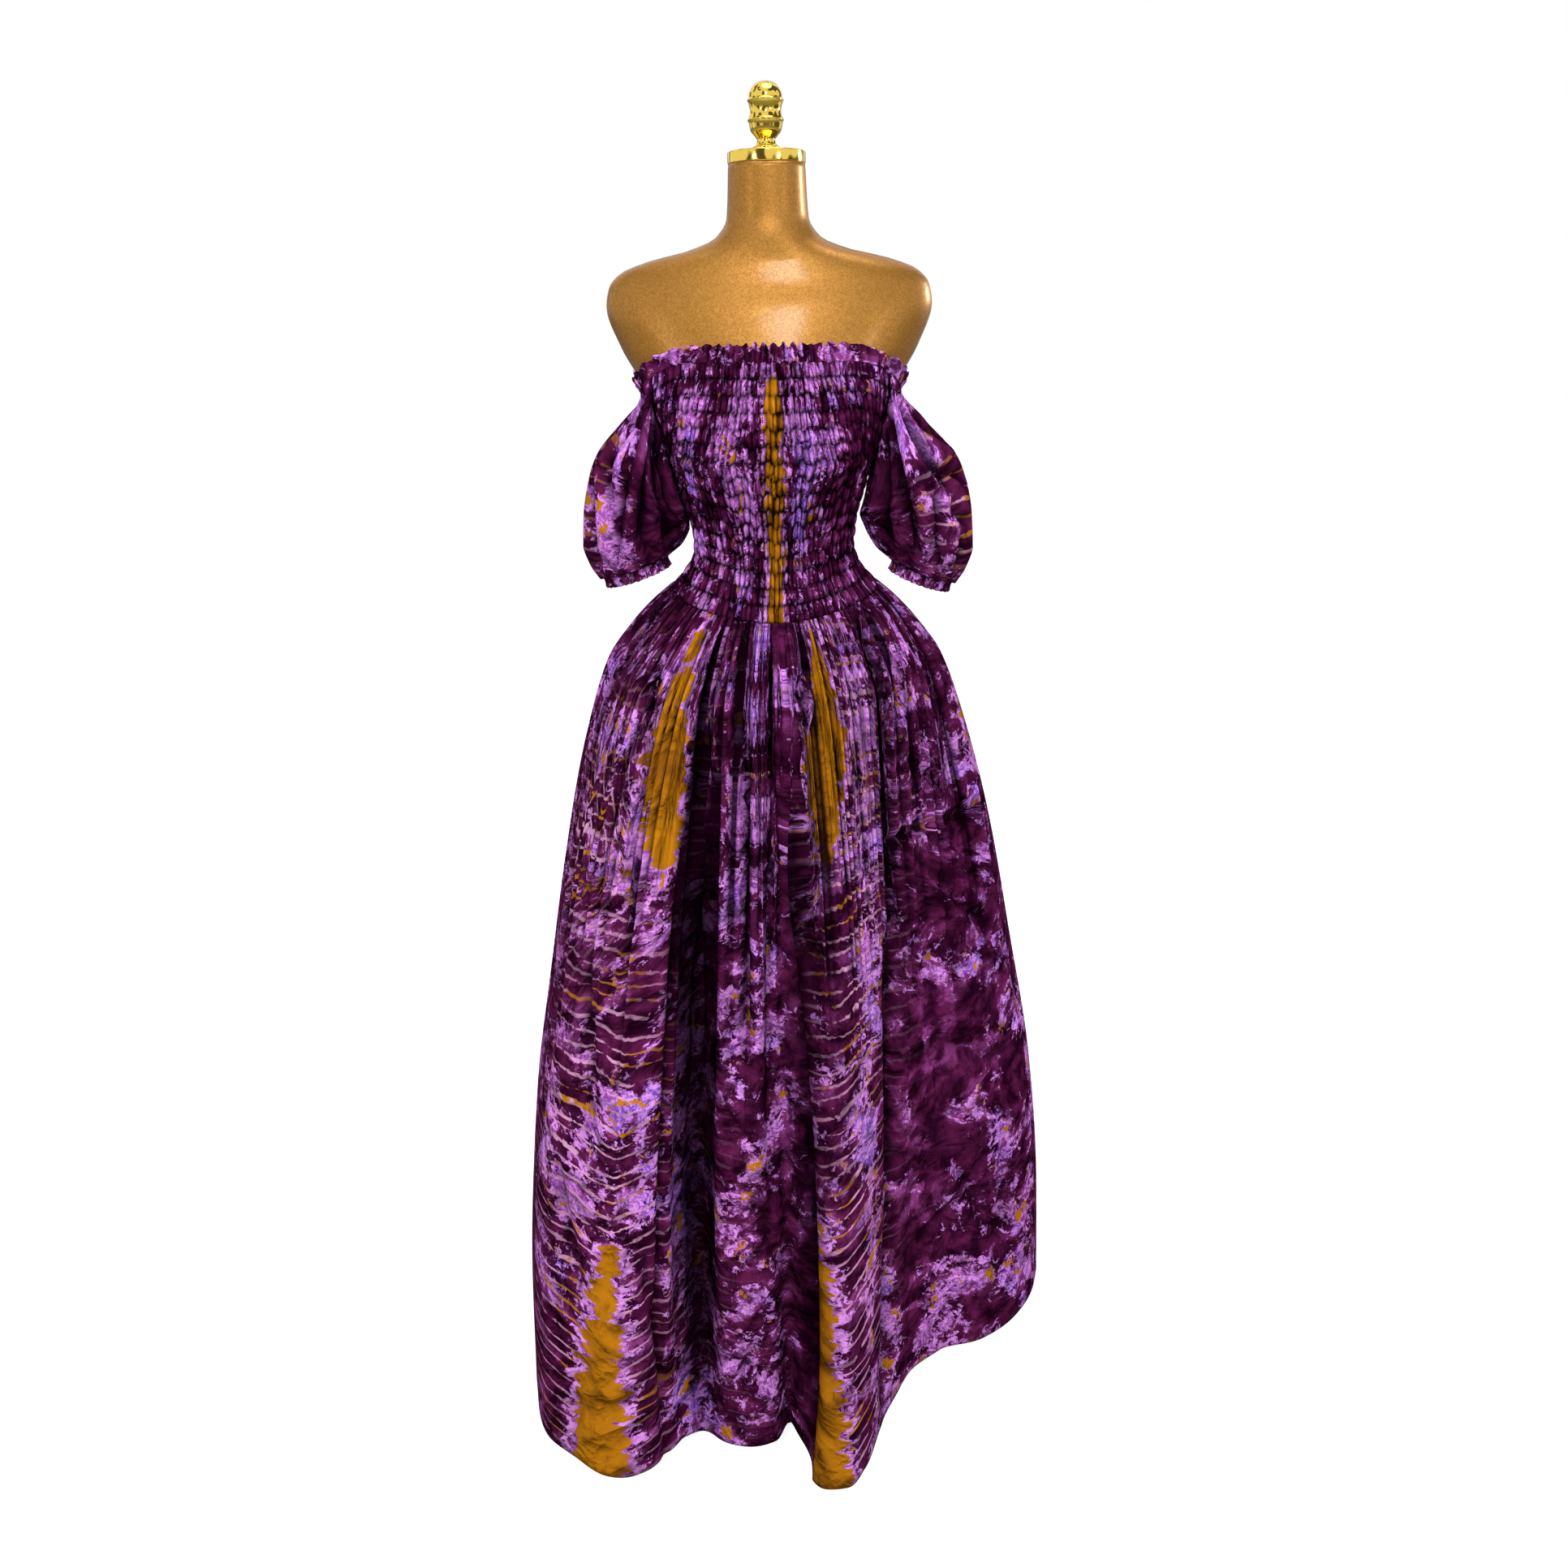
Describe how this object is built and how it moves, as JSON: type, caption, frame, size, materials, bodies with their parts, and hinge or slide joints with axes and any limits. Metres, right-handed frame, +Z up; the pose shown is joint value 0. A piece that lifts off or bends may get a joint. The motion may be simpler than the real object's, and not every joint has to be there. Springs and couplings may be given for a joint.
{
  "type": "maxi dress on a limbless dress form",
  "caption": "Off-shoulder maxi dress with shirred bodice, puff sleeves and full gathered skirt, on a gold limbless dress form with a round base.",
  "frame": {"origin": "on the pole's axis at the underside of the round base", "axes": "+Z up along the pole, the dress's front faces -Y, +X is to the right of someone looking at the front"},
  "size_m": [0.807, 0.7172, 1.798],
  "materials": {
    "dyed_cotton": "polished cotton, tie-dyed plum, violet and ochre",
    "gold_paint": "glossy bronze-gold metallic paint with fine sparkle",
    "gold_plate": "bright gold plating"
  },
  "bodies": {
    "root": {"bodice_front": "dyed_cotton", "bodice_back": "dyed_cotton", "neckline_casing": "dyed_cotton", "sleeve_left": "dyed_cotton", "sleeve_right": "dyed_cotton", "cuff_left": "dyed_cotton", "cuff_right": "dyed_cotton", "skirt_front": "dyed_cotton", "skirt_back": "dyed_cotton", "form_torso": "gold_paint", "neck_cap": "gold_plate", "finial": "gold_plate", "pole": "gold_plate", "base": "gold_plate"}
  },
  "joints": []
}
